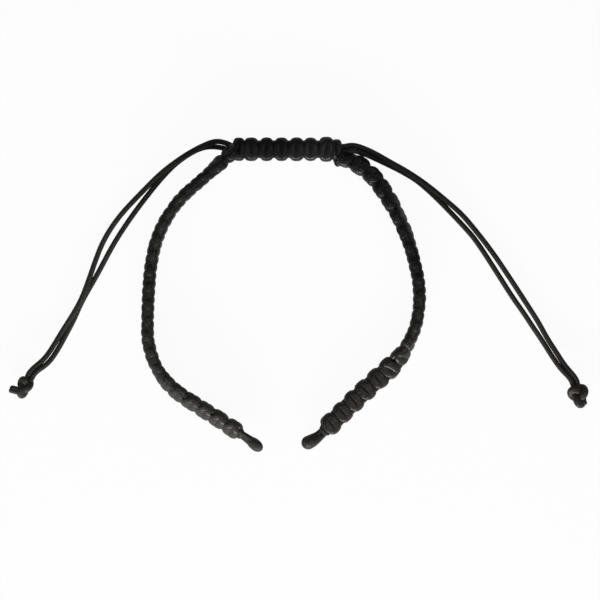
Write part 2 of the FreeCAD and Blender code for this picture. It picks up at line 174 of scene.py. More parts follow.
@dataclass(frozen=True)
class WaxedCordFinish:
    """The finish of waxed polyester cord: fine braided yarns under a thin uneven wax."""

    name: str
    dark: Colour
    light: Colour
    worn: Colour
    # The brown and the lighter grey are painted light on the parts towards the south. The lighter
    # grey also lightens the outer ends, and the green is a cast on the right side towards the
    # north.
    browned: Colour = (0.03, 0.024, 0.021)
    greened: Colour = (0.008, 0.010, 0.008)
    lightened: Colour = (0.036, 0.0345, 0.0315)
    roughness: float = 0.55
    carriers: int = 11
    yarn_length: float = 0.36
    braid_depth: float = 0.07
    coat: float = 0.22
    least_coat: float = 0.04
    patch_scale: float = 180.0
    broad_scale: float = 26.0
    lump_scale: float = 1500.0

    def build(self) -> bpy.types.Material:
        """Makes the material.

        Returns:
            The material, which reads a map in millimetres along a cord and turns round it.
        """
        shader = Shader(bpy.data.materials.new(self.name))
        along, around = shader.parts(shader.node("ShaderNodeTexCoord", output="UV"))
        height, yarn = self._braid(along, around)
        position = shader.node("ShaderNodeTexCoord", output="Object")
        drawn = shader.node("ShaderNodeCombineXYZ", inputs=(along * 1.3, around * 34.0, 0.0))
        fibres = shader.noise(drawn, 1.6, 3.0, 0.55)
        patches = shader.noise(position, self.patch_scale, 4.0, 0.6)
        broad = shader.noise(position, self.broad_scale, 2.0, 0.5)
        tone = patches.eased(0.34, 0.68) * 0.55 + fibres.eased(0.35, 0.75) * 0.45
        colour = shader.mix(tone, (*self.dark, 1.0), (*self.light, 1.0))
        # Painted light: the cord is painted lighter towards the south, and browner there on the
        # right side.
        colour = self._aged(shader, position, colour)
        wear = yarn.eased(0.62, 1.0) * broad.eased(0.42, 0.62) * 0.7
        colour = shader.mix(wear, colour, (*self.worn, 1.0))
        rough = patches * 0.22 + fibres * 0.16 + (self.roughness - 0.17)
        lumps = shader.noise(position, self.lump_scale, 3.0, 0.6)
        bump = shader.node("ShaderNodeBump", None,
                           {"Strength": 0.8, "Distance": self.braid_depth * MM,
                            "Height": height + fibres * 0.5 + lumps * 1.2})
        coat = broad.eased(0.4, 0.62) * self.coat + self.least_coat
        principled = shader.node("ShaderNodeBsdfPrincipled", None,
                                 {"Base Color": colour, "Roughness": rough, "Normal": bump,
                                  "Coat Weight": coat, "Coat Roughness": 0.22,
                                  "Specular IOR Level": 0.08,
                                  "Sheen Weight": 0.01, "Sheen Roughness": 0.4})
        shader.node("ShaderNodeOutputMaterial", None, {"Surface": principled})
        return shader.owner

    def _aged(self, shader: Shader, position: Socket, colour: Socket) -> Socket:
        """Painted light, lighter towards the south and browner there on the right side, with a
        greener cast on the right side towards the north and a lighter grey towards the outer ends.

        Args:
            shader: The shader that gets the nodes.
            position: The place on the object in metres.
            colour: The colour without the painted light and the casts.

        Returns:
            The colour with them.
        """
        east, north = shader.parts(position)
        right_side = east.eased(-0.004, 0.01)
        south = north.eased(0.006, -0.024)
        # Painted light: the right side is painted browner and lighter towards the south.
        painted_light_brown_share = right_side * south
        green = right_side * (1 - south) * north.eased(0.027, 0.018) * 0.5
        outlying = (east.size() - 0.02).eased(0.0, 0.022) * east.size().eased(0.0515, 0.0465)
        # Painted light: the left side is painted lighter towards the south.
        lightened = (1 - right_side) * south
        colour = shader.mix(painted_light_brown_share * 0.8, colour, (*self.browned, 1.0))
        colour = shader.mix(green, colour, (*self.greened, 1.0))
        colour = shader.mix(lightened * 0.85, colour, (*self.lightened, 1.0))
        return shader.mix(outlying * 0.5, colour, (*self.lightened, 1.0))

    def _braid(self, along: Socket, around: Socket) -> tuple[Socket, Socket]:
        """The height of yarns that run both ways round the cord and pass over each other.

        Args:
            along: Millimetres along the cord.
            around: Turns round it.

        Returns:
            The height from 0 to 1, and how near a place is to the crown of its yarn.
        """
        lengthwise = along * (math.pi / self.yarn_length)
        turnwise = around * (math.pi * self.carriers)
        one_way = lengthwise + turnwise
        other_way = lengthwise - turnwise
        over = ((one_way * 0.5).sine() * (other_way * 0.5).sine()).eased(-0.25, 0.25)
        first = one_way.sine().size()
        second = other_way.sine().size()
        crown = first * over + second * (1 - over)
        return crown.eased(0.0, 0.9), crown


@dataclass(frozen=True)
class TableFinish:
    """A plain white table that keeps the object's shadow."""

    name: str = "white_table"
    colour: Colour = (0.96, 0.96, 0.96)
    lifted: float = 0.94

    def build(self) -> bpy.types.Material:
        """Makes the material.

        Returns:
            The material, which is plain white where it is seen and not where it is lit.
        """
        shader = Shader(bpy.data.materials.new(self.name))
        matt = shader.node("ShaderNodeBsdfDiffuse", None, {"Color": (*self.colour, 1.0)})
        white = shader.node("ShaderNodeEmission", None, {"Color": WHITE, "Strength": 1.0})
        path = shader.node("ShaderNodeLightPath", output="Is Camera Ray")
        glossy = Socket(shader, path.link.node.outputs["Is Glossy Ray"])
        seen = path.math("MAXIMUM", glossy) * self.lifted
        mixed = shader.node("ShaderNodeMixShader", None, (seen, matt, white))
        shader.node("ShaderNodeOutputMaterial", None, {"Surface": mixed})
        return shader.owner


# Cords as meshes


def put(name: str, data: bpy.types.ID) -> bpy.types.Object:
    """Makes an object and puts it into the scene.

    Args:
        name: The object's name.
        data: Its mesh, curve, camera or lamp.

    Returns:
        The object.
    """
    made = bpy.data.objects.new(name, data)
    bpy.context.scene.collection.objects.link(made)
    return made


def metres(point: Sequence[float]) -> tuple[float, ...]:
    """A point in millimetres as one in metres."""
    return tuple(value * MM for value in point)


def shares(count: int) -> list[float]:
    """The shares from 0 to 1, in a number of even steps."""
    return [step / count for step in range(count + 1)]


def headed(angle: float) -> tuple[Vector, Vector]:
    """The level directions along a heading in radians and to its left."""
    return (Vector((math.cos(angle), math.sin(angle), 0.0)),
            Vector((-math.sin(angle), math.cos(angle), 0.0)))


@dataclass(frozen=True)
class Section:
    """A cord's cross section in millimetres, in the space of whatever carries the cord."""

    place: Vector
    wide: Vector
    thick: Vector
    half_width: float
    half_thickness: float


def onward(points: Sequence[Vector], number: int) -> Vector:
    """The way from the point before one of a line's points to the point after it."""
    return points[min(number + 1, len(points) - 1)] - points[max(number - 1, 0)]


def eased(share: float) -> float:
    """A smooth step from 0 to 1, for a share of the way over it."""
    return share * share * (3 - 2 * share)


def rounded(share: float, least: float) -> float:
    """How full a cord is where its end is rounded off, for a share of the way over the end."""
    return math.sqrt(max(least, 1 - max(0.0, share) ** 2))


def smooth_line(points: Sequence[Vector], steps: int) -> list[Vector]:
    """A line's points, with more points between them on smooth curves.

    Args:
        points: The points.
        steps: How many steps each span gets.

    Returns:
        All the points.
    """
    smooth = []
    for number in range(len(points) - 1):
        before, start, end, after = (points[min(max(number + shift, 0), len(points) - 1)]
                                     for shift in (-1, 0, 1, 2))
        for step in range(steps):
            share = step / steps
            smooth.append(start + (end - before) * (0.5 * share)
                          + (before - start * 2.5 + end * 2 - after * 0.5) * share ** 2
                          + ((start - end) * 1.5 + (after - before) * 0.5) * share ** 3)
    return [*smooth, points[-1]]


@dataclass
class CordMesh:
    """A cord's skin, built from its cross sections, with a map in millimetres and turns."""

    name: str
    sides: int
    squareness: float

    def build(self, *runs: Sequence[Section]) -> bpy.types.Object:
        """Makes the mesh object.

        Args:
            runs: The cross sections of each run of the cord, in the row frame.

        Returns:
            The object, which is already in the scene.
        """
        vertices, faces, maps = [], [], []
        count = self.sides
        travelled = 0.0
        for sections in runs:
            base = len(vertices)
            rows = []
            last = sections[0].place
            for section in sections:
                travelled += (section.place - last).length
                last = section.place
                rows.append(travelled)
                vertices += [corner * MM for corner in self._ring(section)]
            for ring in range(len(sections) - 1):
                near, far = base + ring * count, base + (ring + 1) * count
                for side in range(count):
                    following = (side + 1) % count
                    faces.append((near + side, near + following, far + following, far + side))
                    low, high = side / count, (side + 1) / count
                    maps += [(rows[ring], low), (rows[ring], high), (rows[ring + 1], high),
                             (rows[ring + 1], low)]
            end = base + (len(sections) - 1) * count
            faces.append(tuple(reversed(range(base, base + count))))
            faces.append(tuple(range(end, end + count)))
            maps += [(rows[0], 0.5)] * count + [(rows[-1], 0.5)] * count
        mesh = bpy.data.meshes.new(self.name)
        mesh.from_pydata(vertices, [], faces)
        layer = mesh.uv_layers.new(name="cord_map")
        for loop, value in enumerate(maps):
            layer.data[loop].uv = value
        for polygon in mesh.polygons:
            polygon.use_smooth = True
        mesh.update()
        return put(self.name, mesh)

    def _ring(self, section: Section) -> Iterable[Vector]:
        """The corners of one section.

        Args:
            section: The section.

        Returns:
            Its corners in order.
        """
        power = 2 / self.squareness
        for number in range(self.sides):
            angle = 2 * math.pi * number / self.sides
            across, through = (math.copysign(abs(value) ** power, value)
                               for value in (math.cos(angle), math.sin(angle)))
            yield (section.place + section.wide * (section.half_width * across)
                   + section.thick * (section.half_thickness * through))


def round_sections(points: Sequence[Vector], radius: float, tip: float = 0.0) -> list[Section]:
    """The sections of a round cord along a line that is never upright.

    Args:
        points: The line's points.
        radius: The cord's radius.
        tip: The length of a melted tip that ends a straight line, or 0.

    Returns:
        The sections.
    """
    sections = []
    for number, point in enumerate(points):
        along = onward(points, number).normalized()
        beside = along.cross(UP).normalized()
        left = (points[-1] - point).length
        own = radius * rounded(1 - left / tip, 0.06) if tip else radius
        sections.append(Section(point, beside, beside.cross(along), own, own))
    return sections


# The bands of square knots


@dataclass(frozen=True)
class CordSizes:
    """The cords' sizes, in millimetres."""

    core: float = 0.95
    tail: float = 0.95
    clearance: float = 0.03
    end_margin: float = 1.0
    overlap: float = 0.02
    core_step: float = 0.5

    @property
    def strand_offset(self) -> float:
        """How far a strand of a pair stands from the pair's middle."""
        return (self.core + self.clearance) / 2


CORDS = CordSizes()


class Direction(Enum):
    """A knotting cord's face of the band."""

    FRONT = 1
    BACK = -1

    @property
    def word(self) -> str:
        """The face's name in the names of pieces."""
        return self.name.lower()


@dataclass(frozen=True)
class Bead:
    """One half knot of a band, which looks like a bead from the front."""

    place: float
    spread: float = 1.0
    fullness: float = 1.0


@dataclass(frozen=True)
class Knot:
    """The shape of one half knot.

    The first five, link and edge_rim are in millimetres and bend is in degrees. The powers are
    exponents, and the rest are shares of other sizes.
    """

    pitch: float
    edge: float
    top: float
    thickness: float
    waist: float
    skew: float = 0.03
    link: float = 0.46
    reach: float = 0.57
    bend: float = 112.0
    tuck: float = 0.14
    narrowing: float = 0.44
    merging: float = 0.8
    swelling: float = 0.5
    crown_power: float = 0.86
    spacing: float = 0.46
    strand_width: float = 0.57
    merged_width: float = 0.38
    inset: float = 0.12
    edge_power: int = 10
    edge_rim: float = 0.2
    link_breadth: float = 1.15
    edge_breadth: float = 0.84
    link_height: float = 0.16
    sinking: float = 0.4

    def support(self, twist: float) -> float:
        """How high the middle of a band is at a twist in degrees."""
        turn = math.radians(twist)
        return math.hypot(self.edge * math.sin(turn), self.top * math.cos(turn))

    def crossing(self, bead: Bead, side: int, face: int, strand: int,
                 lean: float) -> list[Section]:
        """A strand that crosses the band and bends round both of its edges.

        Args:
            bead: The half knot.
            side: The side of the band towards which the cord crosses.
            face: The face of the band that it crosses.
            strand: Which of the cord's two strands, -1 or 1.
            lean: How far the strand leans, in millimetres.

        Returns:
            The sections, given along, across and through the band.
        """
        sections = []
        count = 13
        for step in range(-count, count + 1):
            share = step / count
            angle = math.radians(self.bend * share)
            out, up = math.sin(angle), math.cos(angle)
            fade = rounded((abs(share) - 1 + self.tuck) / self.tuck, 0.02)
            reach = self.reach * self.pitch * bead.fullness
            reach *= math.sqrt(1 - self.narrowing * out * out)
            merged = self.merging * abs(out) ** 3
            full = self.thickness * (1.0 + self.swelling * out * out)
            own = math.copysign(abs(up) ** self.crown_power, up)
            apart = strand * self.spacing * reach * (1 - merged)
            half_width = (self.strand_width + self.merged_width * merged) * reach * fade
            place = Vector((bead.place + apart + out * (self.skew * self.pitch + lean),
                            side * out * (self.edge * bead.spread - full),
                            face * own * (self.top * bead.spread - self.thickness)))
            sections.append(Section(place, ONWARD,
                                    Vector((0.0, side * out, face * up)).normalized(),
                                    half_width, full * fade))
        return sections

    def passage(self, first: Bead, second: Bead, side: int, face: int,
                twist: float) -> list[Section]:
        """The part of a cord that leads from one half knot to the next along an edge.

        Args:
            first: The half knot that it leaves.
            second: The half knot that it leads to.
            side: The side of the band that it is on.
            face: The cord's face of the band.
            twist: The band's twist there in degrees, since on edge its waists close.

        Returns:
            The sections, as for a crossing.
        """
        on_edge = abs(math.sin(math.radians(twist))) ** self.edge_power
        waist = self.waist + (self.edge - self.edge_rim - self.waist) * on_edge
        gap = second.place - first.place
        edge = self.edge - 0.5 * self.thickness
        broad = self.link_breadth * self.link
        broad += (self.edge_breadth * self.top - broad) * on_edge
        height = face * self.link_height * self.top * (1 - on_edge)
        outward = BESIDE * side
        sections = []
        for share in shares(10):
            sag = math.sin(math.pi * share)
            spread = first.spread + (second.spread - first.spread) * share
            place = Vector((first.place + gap * (self.inset + (1 - 2 * self.inset) * share),
                            side * spread * (edge - self.link - (edge - waist) * sag),
                            height * (1 - self.sinking * sag)))
            sections.append(Section(place, outward.cross(ONWARD), outward, broad * spread,
                                    self.link * spread))
        return sections


CLOSURE_KNOT = Knot(3.0, 2.5, 1.745, 0.66, 1.76, link=0.52)


def arm_knot(pitch: float) -> Knot:
    """The knot of an arm, whose core is one pair of strands."""
    return Knot(pitch, 2.2, 1.36, 0.56, 1.75)


@dataclass
class Band:
    """A band's centre line in the table's plane, with the twist along its length."""

    start: tuple[float, float]
    heading: float
    arcs: Sequence[tuple[float, float]]
    twists: Sequence[tuple[float, float]]
    knot: Knot
    lift: float = 0.0
    lift_length: float = 9.0
    margin: float = 0.11

    def twist(self, u: float) -> float:
        """The twist at a place.

        Args:
            u: Millimetres along the band.

        Returns:
            Degrees.
        """
        before = self.twists[0]
        for after in self.twists[1:]:
            if u <= after[0]:
                share = max(0.0, (u - before[0]) / (after[0] - before[0]))
                return before[1] + (after[1] - before[1]) * eased(share)
            before = after
        return before[1]

    def middle(self, u: float) -> tuple[float, float, float]:
        """The centre line's point and heading.

        Args:
            u: Millimetres along the band.

        Returns:
            x, y and the heading in degrees.
        """
        x, y = self.start
        heading = self.heading
        left = u
        for number, (length, turn) in enumerate(self.arcs):
            step = left if number == len(self.arcs) - 1 else min(left, length)
            bend = math.radians(turn * step / length)
            angle = math.radians(heading)
            chord = step if abs(bend) < 1e-9 else 2 * step / bend * math.sin(bend / 2)
            x += chord * math.cos(angle + bend / 2)
            y += chord * math.sin(angle + bend / 2)
            heading += math.degrees(bend)
            left -= step
            if left <= 0:
                break
        return x, y, heading

    def frame(self, u: float) -> tuple[Vector, Vector, Vector, Vector]:
        """The band's own place and directions.

        Args:
            u: Millimetres along the band.

        Returns:
            The middle point there, and the directions along, across and through the band.
        """
        x, y, heading = self.middle(u)
        twist = self.twist(u)
        turn = math.radians(twist)
        along, beside = headed(math.radians(heading))
        across = beside * math.cos(turn) + UP * math.sin(turn)
        through = UP * math.cos(turn) - beside * math.sin(turn)
        share = min(1.0, max(0.0, u) / self.lift_length)
        height = self.margin + self.knot.support(twist) + self.lift * (1 - eased(share))
        return Vector((x, y, height)), along, across, through

    def lay(self, section: Section) -> Section:
        """Lays a section on the band.

        Args:
            section: The section, given along, across and through the band.

        Returns:
            The section in the row frame, which is that of the whole object.
        """
        point, along, across, through = self.frame(section.place.x)
        place = point + across * section.place.y + through * section.place.z
        wide, thick = (along * d.x + across * d.y + through * d.z
                       for d in (section.wide, section.thick))
        return Section(place, wide, thick, section.half_width, section.half_thickness)

    def core_pair(self, start: float, end: float, layer: float = 0.0) -> list[list[Section]]:
        """A pair of core strands that follow the band.

        Args:
            start: Where they start along the band.
            end: Where they end.
            layer: Their distance through the band.

        Returns:
            The sections of each strand.
        """
        count = max(2, round((end - start) / CORDS.core_step))
        half = CORDS.strand_offset + CORDS.overlap
        return [[self.lay(Section(Vector((start + (end - start) * number / count, v, layer)),
                                  BESIDE, UP, half, half)) for number in range(count + 1)]
                for v in (-CORDS.strand_offset, CORDS.strand_offset)]


@dataclass
class KnottingCord:
    """One cord of a band, which crosses the band at each bead and leads on along its edges."""

    band: Band
    beads: Sequence[Bead]
    face: Direction
    seed: int
    turn: int = 1
    following: Optional[Bead] = None
    wander: float = 0.12
    lean: float = 0.14

    def runs(self) -> list[list[Section]]:
        """The cord's runs over its band.

        Returns:
            The sections of each run.
        """
        draw = random.Random(self.seed)
        face = self.face.value
        side = face * self.turn
        knot = self.band.knot
        runs = []
        for bead, following in zip(self.beads, [*self.beads[1:], self.following]):
            drawn = Bead(bead.place + draw.uniform(-self.wander, self.wander),
                         bead.spread * draw.uniform(0.95, 1.02),
                         bead.fullness * draw.uniform(0.95, 1.05))
            for strand in (-1, 1):
                lean = draw.uniform(-self.lean, self.lean)
                runs.append(knot.crossing(drawn, side, face, strand, lean))
            if following:
                twist = self.band.twist((bead.place + following.place) / 2)
                runs.append(knot.passage(bead, following, side, face, twist))
            side = -side
        return [[self.band.lay(section) for section in run] for run in runs]


@dataclass
class Dress:
    """The cords' materials, and what every sub-assembly makes its pieces with."""

    knotting: bpy.types.Material
    core: bpy.types.Material

    def make(self, name: str, slot: str, runs: Sequence[Sequence[Section]],
             node: Optional[str] = None, sides: int = 12) -> bpy.types.Object:
        """Makes a piece, gives it the material that its slot names, and hides the CAD node that it
        replaces.

        Args:
            name: The piece's name.
            slot: The name of the material slot, which picks the material.
            runs: The cross sections of each of its runs, in the row frame.
            node: The CAD node that it replaces, if it replaces one.
            sides: How many sides its sections have.

        Returns:
            The piece.
        """
        knotting = slot == "knotting_cord"
        piece = CordMesh(name, sides, 2.1 if knotting else 2.0).build(*runs)
        piece.data.materials.append(self.knotting if knotting else self.core)
        if node:
            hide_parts(node)
        return piece

    def strands(self, pattern: str, node: str,
                pair: Sequence[Sequence[Section]]) -> list[bpy.types.Object]:
        """Makes the strands of a core cord, and hides their CAD node.

        Args:
            pattern: The strands' name, with braces where the number goes.
            node: The CAD node.
            pair: The cross sections of each strand.

        Returns:
            The pieces.
        """
        pieces = [self.make(pattern.format(number), "core_cord", [sections])
                  for number, sections in enumerate(pair, start=1)]
        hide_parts(node)
        return pieces


# The closure


@dataclass
class Closure:
    """The sliding closure: square knots over four strands, and the knotting cord's cut end.

    The cut end's places are from the middle of the closure's right end.
    """

    dress: Dress
    x: float = -2.3
    y: float = 28.7
    knots: int = 7
    knot: Knot = CLOSURE_KNOT
    first_bead: Bead = Bead(0.1, 0.94, 0.76)
    last_inset: float = 0.5
    cut_start: Place = (-0.7, -1.5, -0.8)
    cut_tip: Place = (0.0, -3.45, -1.0)
    cut_radius: float = 0.62
    cut_melted: float = 0.7

    @property
    def length(self) -> float:
        """The closure's length."""
        return (self.knots - 1) * self.knot.pitch + 2 * CORDS.end_margin

    def end(self, side: str) -> float:
        """The place of its left or right end along X."""
        return self.x + WAYS[side] * self.length / 2

    def exit(self, side: str, north: int, layer: int) -> Place:
        """Where the strand towards +Y or -Y, 1 or -1, of the upper or lower layer leaves."""
        offset = CORDS.strand_offset
        return self.end(side), self.y + north * offset, self.knot.top + layer * offset

    def build(self) -> None:
        """Makes the closure's cords and strands."""
        band = Band((self.end("left"), self.y), 0.0, [(self.length, 0.0)],
                    [(0.0, 0.0), (1.0, 0.0)], self.knot)
        beads = [self.first_bead]
        beads += [Bead(CORDS.end_margin + (number + 0.5) * self.knot.pitch)
                  for number in range(self.knots - 1)]
        beads.append(Bead(self.length - self.last_inset, 0.84, 0.66))
        for face in Direction:
            runs = KnottingCord(band, beads, face, 5).runs()
            if face is Direction.BACK:
                start, tip = (Vector(place) + ONWARD * self.length
                              for place in (self.cut_start, self.cut_tip))
                trimmed = round_sections([start.lerp(tip, share) for share in shares(16)],
                                         self.cut_radius, self.cut_melted)
                runs.append([band.lay(section) for section in trimmed])
            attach(self.dress.make(f"closure_{face.word}_wrap", "knotting_cord", runs,
                                    f"closure_{face.word}_cord"), "closure")
        for side, way in WAYS.items():
            pair = band.core_pair(0.0, self.length, -way * CORDS.strand_offset)
            for piece in self.dress.strands("closure_strand_{}_of_" + side + "_arm",
                                            f"closure_strands_of_{side}_arm", pair):
                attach(piece, "closure")


# The arms


@dataclass
class Arm:
    """One arm of the bracelet: four lengths of square knots and the end loop."""

    dress: Dress
    side: str
    band: Band
    counts: Sequence[int]
    loop_half_gap: float
    loop_half_width: float
    loop_length: float = 4.6
    bend_length: float = 3.2
    first_bead: Bead = Bead(-0.7, 0.94, 0.95)
    club_root: float = 0.5
    club_fullness: float = 0.97
    club_squash: float = 0.92

    def bars(self) -> list[float]:
        """The places of all the arm's bars."""
        return [CORDS.end_margin + number * self.band.knot.pitch
                for number in range(sum(self.counts))]

    @property
    def end(self) -> float:
        """The length of the knotted band."""
        return self.bars()[-1] + CORDS.end_margin

    def build(self) -> None:
        """Makes the arm's cords, its core and its end loop."""
        bars = self.bars()
        pitch = self.band.knot.pitch
        beads = [self.first_bead]
        beads += [Bead(bar + pitch / 2) for bar in bars[:-1]]
        beads.append(Bead(bars[-1] + 0.1, 0.6, 0.5))
        first = 0
        for number, count in enumerate(self.counts, start=1):
            last = first + count
            whole = last == len(bars)
            low = bars[first] - pitch / 2 if first else 0.0
            high = self.end if whole else bars[last] - pitch / 2
            own = beads[first + 1 if first else 0:last + 1]
            turn = -1 if first and first % 2 == 0 else 1
            for face in Direction:
                cord = KnottingCord(self.band, own, face, 17 * number + face.value, turn,
                                    None if whole else beads[last + 1])
                name = f"{self.side}_arm_{number}_{face.word}"
                self._hang(self.dress.make(f"{name}_wrap", "knotting_cord", cord.runs(),
                                           f"{name}_cord"), number, high)
            name = f"{self.side}_arm_{number}_core"
            for piece in self.dress.strands(name + "_strand_{}", name,
                                            self.band.core_pair(low, high)):
                self._hang(piece, number, high)
            first += count
        self._loop()

    def _hang(self, piece: bpy.types.Object, number: int, high: float) -> None:
        """Attaches a piece to the arm's last length if it belongs there, and otherwise bakes its
        place into its mesh.

        Args:
            piece: The piece.
            number: The number of its length.
            high: Where the length ends along the band.
        """
        body = f"{self.side}_arm_{number}"
        if number == len(self.counts):
            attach(piece, body)
            return
        end, along, _, _ = self.band.frame(high)
        start = end - along * self.bend_length
        metres(start)
        metres(end)
        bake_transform(piece)

    def _loop(self) -> None:
        """Makes the end loop, which is the fold of the core cord."""
        radius = self.loop_half_gap
        offset = CORDS.strand_offset
        straight = self.loop_length - 2 * radius
        route = [Vector((straight * share, v)) for share, v in
                 ((-0.1, offset), (0.3, offset), (0.7, radius))]
        back = [Vector((point.x, -point.y)) for point in reversed(route)]
        for share in shares(10):
            along, beside = headed(math.pi * share)
            route.append(Vector((straight + radius * along.y, radius * beside.y)))
        line = smooth_line(route + back, 4)
        fold = []
        for number, point in enumerate(line):
            way = onward(line, number)
            beside = headed(math.atan2(way.y, way.x))[1]
            share = min(1.0, max(0.0, point.x / straight))
            half = offset + CORDS.overlap + (self.loop_half_width - offset) * share
            fold.append(self.band.lay(Section(Vector((self.end + point.x, point.y, 0.0)), beside,
                                              UP, half, half)))
        full = self.club_fullness * (radius + self.loop_half_width)
        club = []
        for share in shares(20):
            u = self.end + 0.1 * straight + (0.9 * straight + radius + self.club_root) * share
            half = self.club_root + (full - self.club_root) * eased(min(1.0, share / 0.55))
            half *= rounded((share - 0.7) / 0.3, 0.05)
            club.append(self.band.lay(Section(Vector((u, 0.0, 0.0)), BESIDE, UP, half,
                                              self.club_squash * half)))
        piece = self.dress.make(f"{self.side}_end_eye", "core_cord", [fold, club],
                                f"{self.side}_end_loop", 14)
        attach(piece, f"{self.side}_arm_{len(self.counts)}")

    def runs(self, closure: Closure) -> None:
        """Makes the bare strands between the closure and the arm.

        Args:
            closure: The closure that they come out of.
        """
        way = WAYS[self.side]
        point, _, across, through = self.band.frame(0.0)
        half = CORDS.core / 2
        ends = [(Vector(closure.exit(self.side, side, -way)),
                 point + across * (way * side * CORDS.strand_offset)) for side in (-1, 1)]
        pair = [[Section(start.lerp(end, share), BESIDE.lerp(across * way, share).normalized(),
                         UP.lerp(through, share).normalized(), half, half)
                 for share in shares(60)] for start, end in ends]
        pieces = self.dress.strands(self.side + "_bare_strand_{}", f"{self.side}_core_run", pair)
        for piece, (start, end) in zip(pieces, ends):
            metres(start)
            metres(end)
            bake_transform(piece)


# The stopper knots


@dataclass
class StopperKnot:
    """A pair of tails tied round itself, with two cut ends.

    The turns' radius and height and the ends' radius are shares of the cord's diameter.
    """

    dress: Dress
    side: str
    x: float
    y: float
    heading: float
    end_length: float
    size: tuple[float, float, float]
    shift: float
    draw: tuple[float, float]
    cord: float = 0.9
    core: float = 0.7
    turn_radius: float = 0.72
    turn_height: float = 0.74
    end_gap: float = 0.56
    end_radius: float = 0.58
    melted: float = 0.4
    turns: Sequence[tuple[float, float]] = ((0.0, 1.0), (0.22, 0.78))

    @property
    def core_offset(self) -> float:
        """How far a strand inside the knot stands from its middle."""
        return (self.core + CORDS.clearance) / 2

    def directions(self) -> tuple[Vector, Vector, Vector]:
        """Where the knot starts, its axis and the level direction beside it."""
        height = self.core_offset + self.core / 2 + CORDS.clearance + self.cord
        return Vector((self.x, self.y, height)), *headed(math.radians(self.heading))

    def tail_end(self, way: int) -> tuple[Vector, Vector]:
        """Where a tail, 1 or -1, meets the knot, and the knot's axis."""
        start, axis, beside = self.directions()
        return start + beside * (way * CORDS.strand_offset), axis

    @property
    def middle(self) -> Vector:
        """The middle of the knot, which rests on the table."""
        start, axis, beside = self.directions()
        place = start + axis * self.size[1] + beside * self.shift
        place.z = self.turn_height * self.cord + self.size[2] + CORDS.clearance
        return place

    def overhand(self, turn: float, scale: float) -> list[Vector]:
        """The line of a strand that is tied in an overhand knot.

        Args:
            turn: How far the strand is turned round in the knot, in radians.
            scale: Its size as a share of the whole knot's.

        Returns:
            The line's points, whose last repeats the first.
        """
        _, axis, beside = self.directions()
        wide, long, high = (scale * (value - 0.5 * self.cord) for value in self.size)
        points = []
        for share in shares(72):
            angle = 2 * math.pi * share + turn
            across = (math.sin(angle) + 2 * math.sin(2 * angle)) / 3
            lengthwise = (2 * math.cos(2 * angle) - math.cos(angle)) / 3
            raised = (high + 0.5 * self.cord) * math.sin(3 * angle)
            points.append(self.middle + beside * (wide * across) + axis * (long * lengthwise)
                          + UP * raised)
        return points

    def build(self) -> None:
        """Makes the knot's turns, its cut ends and the strands inside it."""
        start, axis, beside = self.directions()
        body = f"{self.side}_stopper"
        for number, (turn, scale) in enumerate(self.turns):
            root = self.middle + axis * (0.5 * self.size[1] + self.end_gap * (0.5 - number))
            leaving = beside * (WAYS[self.side] * self.end_length) - UP * 0.1 + axis * 0.25
            runs = [round_sections(self.overhand(turn, scale), self.turn_radius * self.cord),
                    self._cut_end(root, leaving, axis)]
            node = None if number else f"{body}_wrap"
            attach(self.dress.make(f"{body}_turns_{number + 1}", "core_cord", runs, node, 14),
                    body)
        pair = []
        for way in (-1, 1):
            first = start + beside * (way * CORDS.strand_offset)
            last = self.middle + axis * (0.35 * self.size[1]) + beside * (way * self.core_offset)
            points = [first.lerp(last, share) for share in shares(8)]
            pair.append(round_sections(points, CORDS.tail / 2 + 0.04, 0.3))
        for piece in self.dress.strands(body + "_strand_{}", f"{body}_strands", pair):
            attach(piece, body)

    def _cut_end(self, root: Vector, leaving: Vector, axis: Vector) -> list[Section]:
        """A cut end with a melted tip.

        Args:
            root: Where it starts.
            leaving: The way from there to its tip.
            axis: The knot's axis.

        Returns:
            The sections.
        """
        melted = self.melted * min(1.0, leaving.length)
        sections = []
        for share in shares(14):
            left = leaving.length * (1 - share)
            own = self.end_radius * self.cord * rounded(1 - left / melted, 0.1)
            sections.append(Section(root + leaving * share, axis, UP, own, own))
        return sections


# The tails


@dataclass
class Tail:
    """One limp strand on the table, between the closure and a stopper knot."""

    dress: Dress
    name: str
    knot: StopperKnot
    route: Sequence[Place]
    length: float
    travel: float = 50.0
    swell: float = 0.06

    def line(self) -> list[Vector]:
        """The points of the tail's smooth line, read from a spline on its route.

        Returns:
            The points in metres.
        """
        curve = bpy.data.curves.new(self.name + "_line", "CURVE")
        curve.dimensions = "3D"
        curve.resolution_u = 12
        spline = curve.splines.new("NURBS")
        spline.points.add(len(self.route) - 1)
        for point, place in zip(spline.points, self.route):
            point.co = (*metres(place), 1.0)
        spline.order_u = 3
        spline.use_endpoint_u = True
        carrier = put(self.name + "_line", curve)
        bpy.context.view_layer.update()
        evaluated = carrier.evaluated_get(bpy.context.evaluated_depsgraph_get())
        mesh = bpy.data.meshes.new_from_object(evaluated)
        points = [vertex.co.copy() for vertex in mesh.vertices]
        bpy.data.objects.remove(carrier)
        bpy.data.curves.remove(curve)
        bpy.data.meshes.remove(mesh)
        return points

    def build(self) -> None:
        """Makes the tail, puts it under its side's tails body and gives it a mesh of its own."""
        points = self.line()
        raised = [point / MM + UP * self.swell for point in points]
        sections = round_sections(raised, CORDS.tail / 2 + self.swell)
        piece = self.dress.make(self.name + "_strand", "core_cord", [sections], self.name, 16)
        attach(piece, f"{self.knot.side}_tails")
        exit_point = metres(self.route[0])
        direction = Vector((*self.knot.draw, 0.0)).normalized()
        reach = (Vector(self.route[0]) - Vector(self.route[-1])).dot(direction)
        1 - self.travel / reach
        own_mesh(piece)


# The studio


